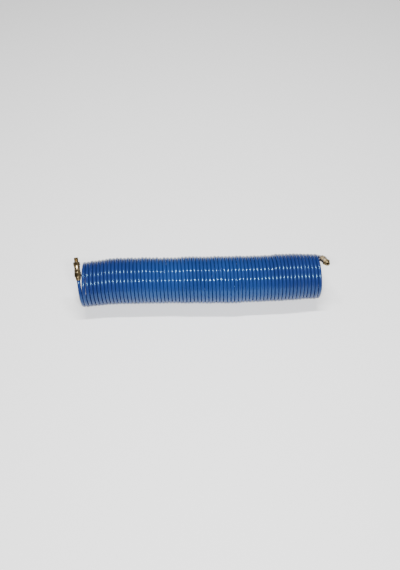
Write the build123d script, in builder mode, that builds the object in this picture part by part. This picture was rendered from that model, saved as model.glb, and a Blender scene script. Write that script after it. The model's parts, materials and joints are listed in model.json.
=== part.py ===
from build123d import *
import math
import os

# A recoil air hose, closed, lying on a surface: all sizes in millimetres, +X along the coil,
# +Z up, the origin on the surface under the middle of the coil. The helix is right-handed.
# Each end of the tube comes up over the coil and carries the same brass swivel fitting:
# the "supply" end is at -X and points to +Y, the "tool" end at +X and points to -Y.

# Tube
tube_od = 8.0
tube_id = 6.0

# Coil
coil_radius = 47.0  # from the coil's axis to the middle of the tube
coil_length = 512.0  # the stretch whose turns lie side by side
coil_axis_height = coil_radius + tube_od / 2

# Last turn at the supply end, from the coil to the fitting. Each point is how far it stands
# beyond the first one, then its Y and its Z. The tool end is the same, turned half round
# about Z. The first point leaves a gap between the tube and the coil's end face.
end_gap = 0.3
last_turn = [
    (0.0, 48.0, 60.0),
    (1.0, 41.5, 22.5),
    (2.0, 9.2, 1.5),
    (3.1, -28.5, 9.5),
    (4.2, -49.5, 41.8),
    (5.8, -41.2, 79.6),
    (8.9, -6.1, 105.2),
]
bend_share = 0.45  # of the shorter run beside a corner, taken up by its arc

# Fitting, measured along its own axis from the rear face of the nut
tube_depth = 17.0
thread_radius = 9.728 / 2  # 1/8 in pipe thread
thread_length = 10.0
thread_chamfer = 0.8
flow_bore_radius = 2.1
hex_chamfer = 0.7
hex_end_inset = 0.2  # how far a hexagon's round end face stays inside its flats

nut_thread_radius = tube_od / 2 + 2.0  # M12 x 1, on the stem
nut_hex = 2 * (nut_thread_radius + 1.0)
nut_nose_length = 8.0
nut_nose_radius = tube_od / 2 + 0.9
nut_length = 18.0
nut_shoulder = 9.0  # where the nut's thread starts inside

ferrule_start = 8.6
ferrule_length = 4.6
ferrule_rim_radius = tube_od / 2 + 0.45
ferrule_radius = tube_od / 2 + 1.0

insert_flange = 0.6
insert_wall = 0.5
insert_length = 10.0

stem_mouth_start = 11.6
stem_hex = nut_hex - 1.0
stem_hex_gap = 0.5  # left between the nut and the stem's hexagon when tight
stem_hex_length = 5.0

journal_radius = 4.0
journal_length = 15.5
groove_radius = journal_radius - 1.1
groove_width = 1.6
o_ring_offsets = (6.5, 10.0)  # along the journal
o_ring_wire_radius = 0.53
clip_offset = 3.0  # along the journal
clip_wire_radius = 0.5
clip_groove_depth = 0.6

washer_thickness = 0.6
washer_radius = stem_hex / 2 - 0.3
stud_shell_radius = journal_radius + 2.6
stud_shell_length = 8.0
stud_hex = 2 * (stud_shell_radius + 0.4)
stud_hex_length = 8.0

# Clearances
slip_clearance = 0.02  # between pieces that are pushed or screwed together, on the radius
tube_clearance = 0.1  # round the tube where it enters the nut and the stem, on the radius
swivel_clearance = 0.04  # between the journal and the stud, on the radius
end_clearance = 0.1  # between the washer and the stud, and at the journal's end

# Places along the fitting that follow from the sizes above
stem_shoulder = tube_depth + insert_flange
stem_hex_start = nut_length + stem_hex_gap
journal_start = stem_hex_start + stem_hex_length
stud_start = journal_start + washer_thickness + end_clearance
stud_hex_start = stud_start + stud_shell_length
stud_thread_start = stud_hex_start + stud_hex_length
stud_end = stud_thread_start + thread_length
journal_end = journal_start + journal_length
stud_bore_radius = journal_radius + swivel_clearance


def save(builder, name):
    """Labels a finished piece and writes its STEP file."""
    builder.part.label = name
    export_step(builder.part, f"parts/{name}.step")


def revolved(seat, points, mode=Mode.ADD):
    """Turns an outline of (radius, distance along the fitting) points about the fitting's axis."""
    section = Plane(origin=seat.origin, x_dir=seat.x_dir, z_dir=-seat.y_dir)
    with BuildSketch(section) as outline:
        with BuildLine():
            Polyline(*points, close=True)
        make_face()
    revolve(outline.sketch, axis=Axis(seat.origin, seat.z_dir), mode=mode)


def hexagon(seat, across_flats, start, length):
    """A hexagon bar with a flat towards the coil and its corners turned off at both ends."""
    corner = across_flats / math.sqrt(3)
    rim = across_flats / 2 - hex_end_inset
    with BuildSketch(seat.offset(start)) as bar:
        RegularPolygon(radius=across_flats / 2, side_count=6, major_radius=False, rotation=30)
    extrude(bar.sketch, amount=length)
    turned = [
        (0, start),
        (rim, start),
        (corner, start + hex_chamfer),
        (corner, start + length - hex_chamfer),
        (rim, start + length),
        (0, start + length),
    ]
    revolved(seat, turned, mode=Mode.INTERSECT)


def turn_route(end):
    """The last turn's points in the model's frame, for the supply or the tool end."""
    side = -1 if end == "supply" else 1
    first = coil_length / 2 + end_gap + tube_od / 2
    return [Vector(side * (first + out), -side * y, z) for out, y, z in last_turn]


def bend_radii(points):
    """One radius for each corner: as large as its two runs allow."""
    radii = []
    for before, corner, after in zip(points, points[1:], points[2:]):
        arriving = corner - before
        leaving = after - corner
        half_turn = math.radians(arriving.get_angle(leaving)) / 2
        radii.append(bend_share * min(arriving.length, leaving.length) / math.tan(half_turn))
    return radii


def make_coil():
    start = Plane(origin=(-coil_length / 2, 0, coil_axis_height), x_dir=(0, 1, 0), z_dir=(1, 0, 0))
    with BuildPart() as coil:
        with BuildSketch(start):
            Circle(coil_radius + tube_od / 2)
            Circle(coil_radius - tube_od / 2, mode=Mode.SUBTRACT)
        extrude(amount=coil_length)
    save(coil, "hose_coil")


def make_tail(end):
    points = turn_route(end)
    radii = bend_radii(points)
    with BuildPart() as tail:
        with BuildLine() as path:
            FilletPolyline(*points, radius=radii)
        with BuildSketch(Plane(origin=path.line @ 0, z_dir=path.line % 0)):
            Circle(tube_od / 2)
            Circle(tube_id / 2, mode=Mode.SUBTRACT)
        sweep()
    save(tail, f"{end}_tail")
    section = math.pi * (tube_od**2 - tube_id**2) / 4
    drawn = tail.part.volume / section
    print(f"{end} tail: length {path.wires()[0].length:.1f}, volume over section {drawn:.1f}")
    print(f"{end} tail: bend radii {[round(r, 1) for r in radii]}")


def make_nut(end, seat):
    """Compression nut with a tapered nose, screwed on the stem."""
    hole = tube_od / 2 + tube_clearance
    bore = nut_thread_radius + slip_clearance
    with BuildPart() as nut:
        hexagon(seat, nut_hex, nut_nose_length, nut_length - nut_nose_length)
        nose = [
            (0, 0),
            (nut_nose_radius, 0),
            (nut_hex / 2 - hex_chamfer, nut_nose_length - hex_chamfer),
            (nut_hex / 2 - hex_chamfer, nut_nose_length + hex_chamfer),
            (0, nut_nose_length + hex_chamfer),
        ]
        revolved(seat, nose)
        inside = [
            (0, -1),
            (hole, -1),
            (hole, nut_shoulder - (bore - hole) / 2),
            (bore, nut_shoulder + (bore - hole) / 2),
            (bore, nut_length + 1),
            (0, nut_length + 1),
        ]
        revolved(seat, inside, mode=Mode.SUBTRACT)
    save(nut, f"{end}_nut")


def make_ferrule(end, seat):
    """Brass olive on the tube, with a cone at each end."""
    inner = tube_od / 2 + slip_clearance
    slope = (ferrule_radius - ferrule_rim_radius) * 2
    with BuildPart() as ferrule:
        outline = [
            (inner, ferrule_start),
            (ferrule_rim_radius, ferrule_start),
            (ferrule_radius, ferrule_start + slope),
            (ferrule_radius, ferrule_start + ferrule_length - slope),
            (ferrule_rim_radius, ferrule_start + ferrule_length),
            (inner, ferrule_start + ferrule_length),
        ]
        revolved(seat, outline)
    save(ferrule, f"{end}_ferrule")


def make_tube_insert(end, seat):
    """Thin sleeve that keeps the tube round under the ferrule, with a flange on its end."""
    outer = tube_id / 2 - slip_clearance
    flange = tube_od / 2
    with BuildPart() as insert:
        outline = [
            (outer - insert_wall, tube_depth - insert_length),
            (outer, tube_depth - insert_length),
            (outer, tube_depth),
            (flange, tube_depth),
            (flange, tube_depth + insert_flange),
            (outer - insert_wall, tube_depth + insert_flange),
        ]
        revolved(seat, outline)
    save(insert, f"{end}_tube_insert")


def make_stem(end, seat):
    """Threaded socket for the tube, a hexagon, and the journal that turns in the stud."""
    socket = tube_od / 2 + tube_clearance
    mouth = ferrule_radius + tube_clearance
    with BuildPart() as stem:
        hexagon(seat, stem_hex, stem_hex_start, stem_hex_length)
        turned = [
            (0, stem_mouth_start),
            (nut_thread_radius, stem_mouth_start),
            (nut_thread_radius, stem_hex_start),
            (journal_radius, stem_hex_start + stem_hex_length),
            (journal_radius, journal_end),
            (0, journal_end),
        ]
        revolved(seat, turned)
        bored = [
            (0, stem_mouth_start - 1),
            (mouth, stem_mouth_start - 1),
            (mouth, ferrule_start + ferrule_length),
            (socket, ferrule_start + ferrule_length + mouth - socket),
            (socket, stem_shoulder),
            (flow_bore_radius, stem_shoulder),
            (flow_bore_radius, journal_end + 1),
            (0, journal_end + 1),
        ]
        revolved(seat, bored, mode=Mode.SUBTRACT)
        for offset in o_ring_offsets:
            cut_groove(seat, journal_start + offset, groove_width, groove_radius)
        clip_width = 2 * (clip_wire_radius + end_clearance)
        cut_groove(seat, journal_start + clip_offset, clip_width, journal_radius - clip_groove_depth)
    save(stem, f"{end}_stem")


def cut_groove(seat, middle, width, bottom):
    """A square groove in the journal."""
    outline = [
        (bottom, middle - width / 2),
        (journal_radius + 1, middle - width / 2),
        (journal_radius + 1, middle + width / 2),
        (bottom, middle + width / 2),
    ]
    revolved(seat, outline, mode=Mode.SUBTRACT)


def make_washer(end, seat):
    """Slippery washer between the stem's hexagon and the stud."""
    with BuildPart() as washer:
        with BuildSketch(seat.offset(journal_start)):
            Circle(washer_radius)
            Circle(journal_radius + slip_clearance, mode=Mode.SUBTRACT)
        extrude(amount=washer_thickness)
    save(washer, f"{end}_thrust_washer")


def wire_ring(seat, place, middle_radius, wire_radius):
    """A ring of round wire about the fitting's axis."""
    section = Plane(origin=seat.origin, x_dir=seat.x_dir, z_dir=-seat.y_dir)
    centre = section.from_local_coords((middle_radius, place, 0))
    with BuildSketch(Plane(origin=centre, x_dir=section.x_dir, z_dir=section.z_dir)) as wire:
        Circle(wire_radius)
    revolve(wire.sketch, axis=Axis(seat.origin, seat.z_dir))


def make_o_rings(end, seat):
    """Two seals in the journal's grooves."""
    with BuildPart() as rings:
        for offset in o_ring_offsets:
            middle_radius = journal_radius - o_ring_wire_radius
            wire_ring(seat, journal_start + offset, middle_radius, o_ring_wire_radius)
    save(rings, f"{end}_o_rings")


def make_retaining_ring(end, seat):
    """Wire ring, half in the journal and half in the stud, that holds the two together."""
    with BuildPart() as ring:
        wire_ring(seat, journal_start + clip_offset, journal_radius, clip_wire_radius)
    save(ring, f"{end}_retaining_ring")


def make_stud(end, seat):
    """Threaded end that screws into the air line and turns on the stem."""
    clip_place = journal_start + clip_offset
    clip_room = clip_wire_radius + end_clearance
    with BuildPart() as stud:
        hexagon(seat, stud_hex, stud_hex_start, stud_hex_length)
        turned = [
            (0, stud_start),
            (stud_shell_radius - thread_chamfer, stud_start),
            (stud_shell_radius, stud_start + thread_chamfer),
            (stud_shell_radius, stud_hex_start + hex_chamfer),
            (thread_radius, stud_hex_start + hex_chamfer),
            (thread_radius, stud_end - thread_chamfer),
            (thread_radius - thread_chamfer, stud_end),
            (0, stud_end),
        ]
        revolved(seat, turned)
        bored = [
            (0, stud_start - 1),
            (stud_bore_radius, stud_start - 1),
            (stud_bore_radius, clip_place - clip_room),
            (journal_radius + clip_room, clip_place - clip_room),
            (journal_radius + clip_room, clip_place + clip_room),
            (stud_bore_radius, clip_place + clip_room),
            (stud_bore_radius, journal_end + end_clearance),
            (flow_bore_radius, journal_end + end_clearance),
            (flow_bore_radius, stud_end + 1),
            (0, stud_end + 1),
        ]
        revolved(seat, bored, mode=Mode.SUBTRACT)
    save(stud, f"{end}_stud")


def make_fitting(end):
    points = turn_route(end)
    along = (points[-1] - points[-2]).normalized()
    level = along.cross(Vector(0, 0, 1)).normalized()
    seat = Plane(origin=points[-1] - along * tube_depth, x_dir=level, z_dir=along)
    make_nut(end, seat)
    make_ferrule(end, seat)
    make_tube_insert(end, seat)
    make_stem(end, seat)
    make_washer(end, seat)
    make_o_rings(end, seat)
    make_retaining_ring(end, seat)
    make_stud(end, seat)
    middle = seat.origin + along * (stud_end - thread_length / 2)
    print(f"{end} thread: middle {middle}, axis {along}")
    print(f"{end} swivel: axis through {seat.origin + along * stud_start}")


os.makedirs("parts", exist_ok=True)
make_coil()
for end in ("supply", "tool"):
    make_tail(end)
    make_fitting(end)
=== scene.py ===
import bisect
import json
import math
import random

import bpy
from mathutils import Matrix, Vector

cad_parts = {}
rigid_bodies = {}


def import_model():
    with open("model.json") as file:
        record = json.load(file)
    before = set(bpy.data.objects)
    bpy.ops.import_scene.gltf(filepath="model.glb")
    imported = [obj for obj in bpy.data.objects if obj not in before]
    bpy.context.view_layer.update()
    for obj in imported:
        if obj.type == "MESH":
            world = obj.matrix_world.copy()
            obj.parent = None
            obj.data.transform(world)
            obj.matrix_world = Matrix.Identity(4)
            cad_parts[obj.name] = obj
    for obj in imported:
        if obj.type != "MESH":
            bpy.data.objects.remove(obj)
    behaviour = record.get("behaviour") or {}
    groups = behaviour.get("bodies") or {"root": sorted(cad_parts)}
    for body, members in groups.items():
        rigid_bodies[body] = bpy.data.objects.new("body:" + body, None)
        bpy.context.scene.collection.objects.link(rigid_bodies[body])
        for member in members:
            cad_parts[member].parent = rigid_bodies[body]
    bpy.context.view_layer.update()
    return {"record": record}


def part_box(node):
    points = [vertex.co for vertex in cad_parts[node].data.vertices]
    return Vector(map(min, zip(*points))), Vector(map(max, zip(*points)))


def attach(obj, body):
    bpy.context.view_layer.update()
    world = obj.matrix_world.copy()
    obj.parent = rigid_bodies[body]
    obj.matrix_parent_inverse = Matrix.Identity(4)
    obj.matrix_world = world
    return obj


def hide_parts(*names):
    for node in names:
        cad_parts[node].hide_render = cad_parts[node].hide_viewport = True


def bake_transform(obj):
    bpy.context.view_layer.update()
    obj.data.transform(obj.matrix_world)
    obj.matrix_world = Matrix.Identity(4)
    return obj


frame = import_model()

MM = 0.001
rng = random.Random(7)

# ---------------------------------------------------------------- the frame's own sizes

COIL_LOW, COIL_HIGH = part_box("hose_coil")
COIL_RADIUS = (COIL_HIGH.z - COIL_LOW.z) / 2  # to the outside of the turns
COIL_AXIS = (COIL_HIGH.z + COIL_LOW.z) / 2
COIL_END = COIL_HIGH.x
JOINTS = {joint["name"]: joint for joint in frame["record"]["behaviour"]["joints"]}

# ---------------------------------------------------------------- camera

# It looks down on the hose from in front, a little from the left.
CAMERA_AZIMUTH = math.radians(-2.55)
CAMERA_ELEVATION = math.radians(55.0)
CAMERA_DISTANCE = 1.40
CAMERA_LENS = 39.4
SENSOR_WIDTH = 36.0
AIM = Vector((-0.0038, -0.0124, COIL_AXIS))


def make_camera():
    back = Vector((
        math.sin(CAMERA_AZIMUTH) * math.cos(CAMERA_ELEVATION),
        -math.cos(CAMERA_AZIMUTH) * math.cos(CAMERA_ELEVATION),
        math.sin(CAMERA_ELEVATION),
    ))
    camera = bpy.data.objects.new("camera", bpy.data.cameras.new("camera"))
    camera.location = AIM + back * CAMERA_DISTANCE
    camera.rotation_mode = "QUATERNION"
    camera.rotation_quaternion = (-back).to_track_quat("-Z", "Y")
    camera.data.lens = CAMERA_LENS
    camera.data.sensor_width = SENSOR_WIDTH
    bpy.context.scene.collection.objects.link(camera)
    bpy.context.scene.camera = camera


# ---------------------------------------------------------------- the tube's line

TUBE_DIAMETER = 0.008
TUBE_RADIUS = TUBE_DIAMETER / 2
TURN_RADIUS = COIL_RADIUS - TUBE_RADIUS  # to the middle of the tube
FULL_TURNS = 64  # between the two last turns, and the part of a turn that joins them up
POINTS_PER_TURN = 16
MIDDLE_OPENING = 0.006  # how much further apart the turns are in the middle than on average
FITTING_ROOM = 0.0002  # left between each fitting and the turn beside it
ROOM_TURN = 0.25  # the part of a turn in which it is made
UNEVEN_RADIUS = 0.0003  # how much one turn's radius differs from the next one's, at random
UNEVEN_SEAT = 0.0005  # how far one turn lies towards +Y or -Y of the next one, at random

# The end turns lean out to meet the last turn, beside the fitting.
LEAN = 0.0011
LEANING_TURNS = 5
LEAN_STARTS = 0.27  # the places round a turn, from 0 to 1, where it starts and stops leaning,
LEAN_STOPS = 0.40
LEAN_RISE = 0.12  # and how much of the turn each change takes
LEAN_FALL = 0.20

# How the closed coil lies. At each place along X: how far its axis strays towards +Y, and how
# much larger its turns are there, all in millimetres.
LIE = [
    (-262, 0.0, 0.0),
    (-235, 2.6, 0.7),
    (-190, 5.3, 2.1),
    (-135, 4.4, 2.0),
    (-85, 2.6, 1.6),
    (-50, 1.2, 1.8),
    (-36, 0.8, 3.0),
    (-8, -0.2, 2.7),
    (20, -1.2, 3.1),
    (80, -3.2, 3.3),
    (95, -2.4, 2.3),
    (155, -2.5, 2.1),
    (170, -1.6, 3.0),
    (205, -0.7, 2.3),
    (235, 0.5, 0.7),
    (262, 0.0, 0.0),
]

# The last turn at the supply end, from the coil to the fitting, in millimetres: how far each
# point stands beyond the first one, then its Y and its Z. The tool end is the same, turned
# half round about Z.
END_GAP = 0.0003
LAST_TURN = [
    (0.0, 48.0, 60.0),
    (1.0, 41.5, 22.5),
    (2.0, 9.2, 1.5),
    (3.1, -28.5, 9.5),
    (4.2, -49.5, 41.8),
    (5.8, -41.2, 79.6),
    (8.9, -6.1, 105.2),
]


def last_turn(side):
    """The points from the coil to the fitting: side is -1 at the supply end, 1 at the tool end."""
    first = COIL_END + END_GAP + TUBE_RADIUS
    return [Vector((side * (first + out * MM), -side * y * MM, z * MM)) for out, y, z in LAST_TURN]


def angle_on_coil(point):
    """The angle of a point about the coil's axis, from +Y towards +Z."""
    return math.atan2(point.z - COIL_AXIS, point.y)


def smooth_step(t):
    return t * t * (3 - 2 * t)


def wander(count, size):
    """A list of random values, one for each turn, and a function that runs smoothly through them."""
    values = [rng.uniform(-size, size) for _ in range(count + 2)]

    def at(turn):
        low = max(0, min(count, int(turn)))
        return values[low] + (values[low + 1] - values[low]) * smooth_step(turn - low)

    return at


def lie_at(x):
    """The coil's sideways stray and its turns' extra radius at a place along it."""
    at = bisect.bisect_right([row[0] for row in LIE], x / MM)
    at = min(len(LIE) - 1, max(1, at))
    (x0, y0, r0), (x1, y1, r1) = LIE[at - 1], LIE[at]
    t = smooth_step(min(1.0, max(0.0, (x / MM - x0) / (x1 - x0))))
    return (y0 + (y1 - y0) * t) * MM, (r0 + (r1 - r0) * t) * MM


def lean_out(turn):
    """How far a turn leans out, so many turns from the coil's end."""
    share = max(0.0, 1 - turn / LEANING_TURNS)
    started = smooth_step(min(1.0, max(0.0, (turn % 1.0 - LEAN_STARTS) / LEAN_RISE)))
    stopped = smooth_step(min(1.0, max(0.0, (turn % 1.0 - LEAN_STOPS) / LEAN_FALL)))
    return LEAN * share * (started - stopped)


def coil_points(start, end):
    """The control points of the turns, from one last turn's first point to the other's."""
    first = angle_on_coil(start)
    turned = angle_on_coil(end) - first
    turns = FULL_TURNS + (turned / (2 * math.pi)) % 1.0
    count = round(turns * POINTS_PER_TURN)
    reach = TURN_RADIUS / math.cos(math.pi / POINTS_PER_TURN)
    grow = wander(FULL_TURNS + 1, UNEVEN_RADIUS)
    proud = wander(FULL_TURNS + 1, UNEVEN_SEAT)
    length = end.x - start.x - 2 * FITTING_ROOM
    points = []
    for i in range(1, count):
        share = i / count
        turn = share * turns
        left = turns - turn
        opened = share - MIDDLE_OPENING * math.sin(2 * math.pi * share) / (2 * math.pi)
        leaving = smooth_step(min(1.0, turn / ROOM_TURN))
        arriving = smooth_step(min(1.0, left / ROOM_TURN))
        made_room = leaving + 1 - arriving
        x = start.x + length * opened + FITTING_ROOM * made_room
        x += lean_out(left) - lean_out(turn)
        stray, larger = lie_at(x)
        settle = min(1.0, turn, left)  # the ends stay on the last turns
        larger += settle * grow(turn)
        radius = reach + larger
        angle = first + turn * 2 * math.pi
        y = radius * math.cos(angle) + stray + settle * proud(turn)
        z = COIL_AXIS + larger + radius * math.sin(angle)
        points.append(Vector((x, y, z)))
    return points


def hose_route():
    """Control points of the whole tube, from the supply fitting to the tool fitting."""
    supply = last_turn(-1)
    tool = last_turn(1)
    return supply[::-1] + coil_points(supply[0], tool[0]) + tool


def nurbs_line(points, steps):
    """The points along the smooth NURBS curve that has these control points."""
    curve = bpy.data.curves.new("route", "CURVE")
    curve.dimensions = "3D"
    curve.resolution_u = steps
    spline = curve.splines.new("NURBS")
    spline.points.add(len(points) - 1)
    for place, point in zip(spline.points, points):
        place.co = (*point, 1.0)
    spline.order_u = 3
    spline.use_endpoint_u = True
    route = bpy.data.objects.new("route", curve)
    mesh = bpy.data.meshes.new_from_object(route)
    line = [vertex.co.copy() for vertex in mesh.vertices]
    bpy.data.objects.remove(route)
    bpy.data.curves.remove(curve)
    bpy.data.meshes.remove(mesh)
    return line


# ---------------------------------------------------------------- meshes


def new_object(name, vertices, faces, material):
    mesh = bpy.data.meshes.new(name)
    mesh.from_pydata([tuple(v) for v in vertices], [], faces)
    mesh.validate()
    mesh.shade_smooth()
    mesh.materials.append(material)
    obj = bpy.data.objects.new(name, mesh)
    bpy.context.scene.collection.objects.link(obj)
    return obj


HOSE_SIDES = 16
STEPS_PER_POINT = 3


def tube_mesh(name, line, radius, material):
    """A closed tube along a line of points. Its rings stand square to the line."""
    vertices, faces = [], []
    for i, point in enumerate(line):
        before = line[max(0, i - 1)]
        after = line[min(len(line) - 1, i + 1)]
        along = (after - before).normalized()
        across = (Vector((1, 0, 0)) - along * along.x).normalized()
        up = along.cross(across)
        for k in range(HOSE_SIDES):
            turn = 2 * math.pi * k / HOSE_SIDES
            vertices.append(point + (across * math.cos(turn) + up * math.sin(turn)) * radius)
    for i in range(len(line) - 1):
        low, high = i * HOSE_SIDES, (i + 1) * HOSE_SIDES
        for k in range(HOSE_SIDES):
            j = (k + 1) % HOSE_SIDES
            faces.append((low + k, low + j, high + j, high + k))
    last = (len(line) - 1) * HOSE_SIDES
    faces.append(tuple(range(HOSE_SIDES))[::-1])
    faces.append(tuple(last + k for k in range(HOSE_SIDES)))
    return new_object(name, vertices, faces, material)


def make_hose(material):
    route = hose_route()
    line = nurbs_line(route, STEPS_PER_POINT)
    hose = tube_mesh("hose", line, TUBE_RADIUS, material)
    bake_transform(hose)
    share_the_stretch(line)
    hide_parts("hose_coil", "supply_tail", "tool_tail")


def share_the_stretch(line):
    """Adds up the length walked along the line to each of its points; nothing uses the sums."""
    walked = [0.0]
    for a, b in zip(line, line[1:]):
        walked.append(walked[-1] + (b - a).length)


# ---------------------------------------------------------------- materials


def new_material(name):
    material = bpy.data.materials.new(name)
    material.use_nodes = True
    return material, material.node_tree.nodes, material.node_tree.links


def object_noise(nodes, links, scale, detail=3.0):
    place = nodes.new("ShaderNodeTexCoord")
    noise = nodes.new("ShaderNodeTexNoise")
    noise.inputs["Scale"].default_value = scale
    noise.inputs["Detail"].default_value = detail
    links.new(place.outputs["Object"], noise.inputs["Vector"])
    return noise


def ramp(nodes, links, factor, stops):
    """A colour ramp with (place, colour) stops, driven by a node's output."""
    node = nodes.new("ShaderNodeValToRGB")
    elements = node.color_ramp.elements
    elements[0].position, elements[0].color = stops[0][0], (*stops[0][1], 1)
    elements[1].position, elements[1].color = stops[-1][0], (*stops[-1][1], 1)
    for place, colour in stops[1:-1]:
        elements.new(place).color = (*colour, 1)
    links.new(factor, node.inputs["Fac"])
    return node


def span(nodes, links, factor, low, high):
    """Maps a value from 0 to 1 onto low to high."""
    node = nodes.new("ShaderNodeMapRange")
    node.inputs["To Min"].default_value = low
    node.inputs["To Max"].default_value = high
    links.new(factor, node.inputs["Value"])
    return node


def bump(nodes, links, height, strength, distance):
    node = nodes.new("ShaderNodeBump")
    node.inputs["Strength"].default_value = strength
    node.inputs["Distance"].default_value = distance
    links.new(height, node.inputs["Height"])
    return node


# How far from the middle of the hose its colour and gloss stay the same, and from where on they are
# those of its ends, where painted shade darkens the colour and wear roughens the gloss.
MIDDLE_REACHES = 0.06
ENDS_START = 0.25
END_ROUGHNESS = 0.12  # added there


def nylon_material():
    """Glossy blue tube with bluish reflections, more scuffed towards the ends, whose colour is
    darkened there with painted shade.
    """
    material, nodes, links = new_material("blue_nylon")
    shader = nodes["Principled BSDF"]
    place = nodes.new("ShaderNodeTexCoord")
    parts = nodes.new("ShaderNodeSeparateXYZ")
    links.new(place.outputs["Object"], parts.inputs["Vector"])
    distance = nodes.new("ShaderNodeMath")
    distance.operation = "ABSOLUTE"
    links.new(parts.outputs["X"], distance.inputs[0])
    # From the middle to the ends: drives the painted shade in the colour and the wear in the gloss.
    end_shade_and_wear = nodes.new("ShaderNodeMapRange")
    end_shade_and_wear.interpolation_type = "SMOOTHSTEP"
    end_shade_and_wear.inputs["From Min"].default_value = MIDDLE_REACHES
    end_shade_and_wear.inputs["From Max"].default_value = ENDS_START
    links.new(distance.outputs["Value"], end_shade_and_wear.inputs["Value"])
    patches = object_noise(nodes, links, 14.0)
    middle = ramp(nodes, links, patches.outputs["Fac"], [
        (0.30, (0.010, 0.031, 0.128)),
        (0.55, (0.011, 0.038, 0.152)),
        (0.75, (0.013, 0.045, 0.168)),
    ])
    # Painted shade: the ends get a darker, less green blue, standing in for the lesser light that
    # reaches them.
    shaded_end_colour = ramp(nodes, links, patches.outputs["Fac"], [
        (0.30, (0.010, 0.020, 0.096)),
        (0.75, (0.011, 0.026, 0.116)),
    ])
    colour = nodes.new("ShaderNodeMix")
    colour.data_type = "RGBA"
    links.new(end_shade_and_wear.outputs["Result"], colour.inputs["Factor"])
    links.new(middle.outputs["Color"], colour.inputs["A"])
    links.new(shaded_end_colour.outputs["Color"], colour.inputs["B"])
    links.new(colour.outputs["Result"], shader.inputs["Base Color"])
    scuffs = object_noise(nodes, links, 160.0, 5.0)
    gloss = span(nodes, links, end_shade_and_wear.outputs["Result"], 0.0, END_ROUGHNESS)
    rough = span(nodes, links, scuffs.outputs["Fac"], 0.05, 0.16)
    together = nodes.new("ShaderNodeMath")
    together.operation = "ADD"
    links.new(gloss.outputs["Result"], together.inputs[0])
    links.new(rough.outputs["Result"], together.inputs[1])
    links.new(together.outputs["Value"], shader.inputs["Roughness"])
    ripple = object_noise(nodes, links, 420.0, 2.0)
    normal = bump(nodes, links, ripple.outputs["Fac"], 0.05, 0.0004)
    links.new(normal.outputs["Normal"], shader.inputs["Normal"])
    shader.inputs["IOR"].default_value = 1.5
    shader.inputs["Specular IOR Level"].default_value = 0.55
    shader.inputs["Specular Tint"].default_value = (0.30, 0.68, 1.0, 1)
    return material


def metal_material(name, dark, light, roughness, grain):
    material, nodes, links = new_material(name)
    shader = nodes["Principled BSDF"]
    shader.inputs["Metallic"].default_value = 1.0
    stains = object_noise(nodes, links, 120.0, 6.0)
    colour = ramp(nodes, links, stains.outputs["Fac"], [(0.35, dark), (0.65, light)])
    links.new(colour.outputs["Color"], shader.inputs["Base Color"])
    fine = object_noise(nodes, links, grain, 3.0)
    rough = span(nodes, links, fine.outputs["Fac"], roughness * 0.7, roughness * 1.4)
    links.new(rough.outputs["Result"], shader.inputs["Roughness"])
    normal = bump(nodes, links, fine.outputs["Fac"], 0.25, 0.0001)
    links.new(normal.outputs["Normal"], shader.inputs["Normal"])
    return material


def plain_material(name, dark, light, roughness):
    """Rubber or a white plastic: slightly mottled, with a fine grain."""
    material, nodes, links = new_material(name)
    shader = nodes["Principled BSDF"]
    mottle = object_noise(nodes, links, 300.0, 4.0)
    colour = ramp(nodes, links, mottle.outputs["Fac"], [(0.3, dark), (0.7, light)])
    links.new(colour.outputs["Color"], shader.inputs["Base Color"])
    rough = span(nodes, links, mottle.outputs["Fac"], roughness * 0.85, roughness * 1.15)
    links.new(rough.outputs["Result"], shader.inputs["Roughness"])
    return material


# ---------------------------------------------------------------- fittings

# The threaded stud, measured in millimetres along its axis from its rear face.
STUD_LENGTH = 26.0
SHELL_RADIUS = 6.6
SHELL_LENGTH = 8.0
HEX_ACROSS_FLATS = 14.0
HEX_LENGTH = 8.0
HEX_CHAMFER = 0.7
THREAD_RADIUS = 4.864
THREAD_PITCH = 25.4 / 28
THREAD_DEPTH = 0.58
THREAD_CHAMFER = 0.8
THREAD_START = SHELL_LENGTH + HEX_LENGTH
RUN_OUT_GAP = 0.4  # plain length between the hexagon and the thread
RUN_OUT = 1.2  # in which the thread gets its full depth
THREAD_ROWS = 90
REAR_BORE = 4.04
FLOW_BORE = 2.1
JOURNAL_DEPTH = 14.9
STUD_SIDES = 72
SHARP_ANGLE = math.radians(35)


def hex_radius(angle, across_flats):
    """How far a hexagon's side stands from its axis in one direction, a flat towards angle 0."""
    return across_flats / 2 / math.cos((angle + math.pi / 6) % (math.pi / 3) - math.pi / 6)


def thread_radius(place, angle):
    """The thread's crest, flank or root at a place along the stud: a right-handed V thread."""
    phase = (place / THREAD_PITCH - angle / (2 * math.pi)) % 1.0
    slope = 1.25  # of the flanks, so that the crest and the root are narrow flats
    crest = 0.1
    depth = min(1.0, max(0.0, slope * abs(2 * phase - 1) - crest))
    fade = min(1.0, max(0.0, (place - THREAD_START - RUN_OUT_GAP) / RUN_OUT))
    return THREAD_RADIUS - THREAD_DEPTH * depth * fade


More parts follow.
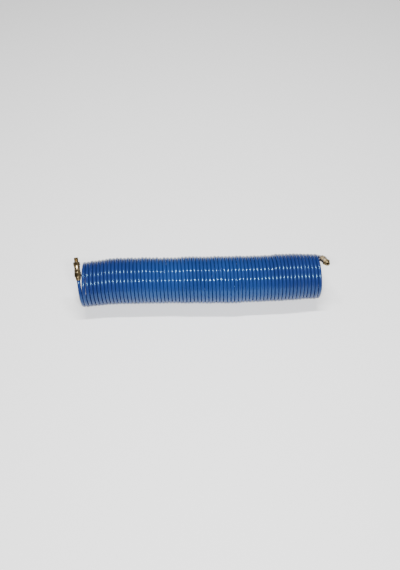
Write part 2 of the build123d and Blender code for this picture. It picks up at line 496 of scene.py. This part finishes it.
def stud_rows():
    """The stud's outline as rows of (place along the axis, radius at an angle)."""
    def ring(radius):
        return lambda angle: radius

    def hexagon(cap):
        return lambda angle: min(cap, hex_radius(angle, HEX_ACROSS_FLATS))

    def threaded(place, cap):
        return lambda angle: min(cap, thread_radius(place, angle))

    rim = HEX_ACROSS_FLATS / 2 - 0.2
    corner = HEX_ACROSS_FLATS / math.sqrt(3)
    hex_start = SHELL_LENGTH
    hex_end = SHELL_LENGTH + HEX_LENGTH
    rows = [
        (8.0, ring(REAR_BORE)),
        (0.0, ring(REAR_BORE)),
        (0.0, ring(REAR_BORE + 0.3)),
        (0.0, ring(SHELL_RADIUS - 0.5)),
        (0.15, ring(SHELL_RADIUS - 0.15)),
        (0.5, ring(SHELL_RADIUS)),
        (2.4, ring(SHELL_RADIUS)),
        (2.6, ring(SHELL_RADIUS - 0.25)),
        (3.6, ring(SHELL_RADIUS - 0.25)),
        (3.8, ring(SHELL_RADIUS)),
        (hex_start - 0.1, ring(SHELL_RADIUS)),
        (hex_start, hexagon(rim)),
        (hex_start + 0.1, hexagon(rim + 0.15)),
        (hex_start + HEX_CHAMFER, hexagon(corner)),
        (hex_end - HEX_CHAMFER, hexagon(corner)),
        (hex_end - 0.1, hexagon(rim + 0.15)),
        (hex_end, hexagon(rim)),
        (hex_end, ring(THREAD_RADIUS)),
    ]
    for step in range(1, THREAD_ROWS):
        place = hex_end + (STUD_LENGTH - hex_end) * step / THREAD_ROWS
        cap = THREAD_RADIUS - max(0.0, place - (STUD_LENGTH - THREAD_CHAMFER))
        rows.append((place, threaded(place, cap)))
    rows += [
        (STUD_LENGTH, ring(THREAD_RADIUS - THREAD_CHAMFER)),
        (STUD_LENGTH, ring(FLOW_BORE + 0.5)),
        (STUD_LENGTH - 0.5, ring(FLOW_BORE)),
        (JOURNAL_DEPTH, ring(FLOW_BORE)),
        (JOURNAL_DEPTH, ring(REAR_BORE)),
    ]
    return rows


def make_stud(end, material):
    """A threaded stud along its swivel's axis, as a closed grid of rows and columns."""
    joint = JOINTS[f"{end}_swivel"]
    origin = Vector(joint["pos_m"])
    along = Vector(joint["axis"]).normalized()
    across = along.cross(Vector((0, 0, 1))).normalized()
    up = along.cross(across)
    rows = stud_rows()
    vertices, faces = [], []
    for place, radius_at in rows:
        for k in range(STUD_SIDES):
            angle = 2 * math.pi * k / STUD_SIDES
            out = across * math.cos(angle) + up * math.sin(angle)
            vertices.append(origin + along * place * MM + out * radius_at(angle) * MM)
    for i in range(len(rows)):
        low, high = i * STUD_SIDES, (i + 1) % len(rows) * STUD_SIDES
        for k in range(STUD_SIDES):
            j = (k + 1) % STUD_SIDES
            faces.append((low + k, low + j, high + j, high + k))
    name = f"{end}_threaded_stud"
    stud = new_object(name, vertices, faces, material)
    stud.data.set_sharp_from_angle(angle=SHARP_ANGLE)
    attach(stud, joint["child"])
    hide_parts(f"{end}_stud")
    return stud


def dress_nodes(materials):
    """Gives each shown CAD piece the material of its slot."""
    for part in frame["record"]["subparts"]:
        obj = bpy.data.objects[part["node"]]
        obj.data.materials.clear()
        obj.data.materials.append(materials[part["material_slot"]])


# ---------------------------------------------------------------- stage and light


FLOOR_HALF = 6.0  # half the floor's side, in metres
FLOOR_COLOUR = (0.86, 0.86, 0.86, 1)
WHITE = (1, 1, 1, 1)
WORLD_STRENGTH = 0.08

# Each light's name, its azimuth and elevation in degrees, its distance and the two sides of
# its face in metres, and its power in watts.
LIGHTS = [
    ("key", 0, 55, 2.4, (1.2, 0.06), 100),
    ("overhead", 0, 99, 2.2, (1.2, 0.06), 60),
]


def make_floor():
    material, nodes, links = new_material("floor")
    shader = nodes["Principled BSDF"]
    shader.inputs["Base Color"].default_value = FLOOR_COLOUR
    shader.inputs["Roughness"].default_value = 0.6
    shader.inputs["Emission Color"].default_value = WHITE
    shader.inputs["Emission Strength"].default_value = 0.1
    signs = [(-1, -1), (1, -1), (1, 1), (-1, 1)]
    corners = [(x * FLOOR_HALF, y * FLOOR_HALF, 0) for x, y in signs]
    new_object("floor", corners, [(0, 1, 2, 3)], material)


def area_light(name, azimuth, elevation, distance, size, power):
    """A soft oblong light, wide along the hose, that looks at it."""
    a, e = math.radians(azimuth), math.radians(elevation)
    towards = Vector((math.sin(a) * math.cos(e), -math.cos(a) * math.cos(e), math.sin(e)))
    light = bpy.data.objects.new(name, bpy.data.lights.new(name, "AREA"))
    light.data.shape = "RECTANGLE"
    light.data.size, light.data.size_y = size
    light.data.energy = power
    light.location = towards * distance
    light.rotation_mode = "QUATERNION"
    light.rotation_quaternion = (-towards).to_track_quat("-Z", "Y")
    bpy.context.scene.collection.objects.link(light)


def make_light():
    world = bpy.data.worlds.new("world")
    world.use_nodes = True
    background = world.node_tree.nodes["Background"]
    background.inputs["Color"].default_value = WHITE
    background.inputs["Strength"].default_value = WORLD_STRENGTH
    bpy.context.scene.world = world
    for light in LIGHTS:
        area_light(*light)


# ---------------------------------------------------------------- the model

make_camera()
materials = {
    "nylon": nylon_material(),
    "brass": metal_material("brass", (0.14, 0.10, 0.052), (0.40, 0.31, 0.17), 0.32, 900.0),
    "steel": metal_material("spring_steel", (0.35, 0.35, 0.36), (0.62, 0.62, 0.63), 0.25, 1200.0),
    "ptfe": plain_material("bronze_filled_ptfe", (0.10, 0.07, 0.04), (0.16, 0.11, 0.06), 0.5),
    "rubber": plain_material("nitrile_rubber", (0.012, 0.012, 0.012), (0.03, 0.03, 0.03), 0.6),
}
dress_nodes(materials)
make_hose(materials["nylon"])
for end in ("supply", "tool"):
    make_stud(end, materials["brass"])
make_floor()
make_light()
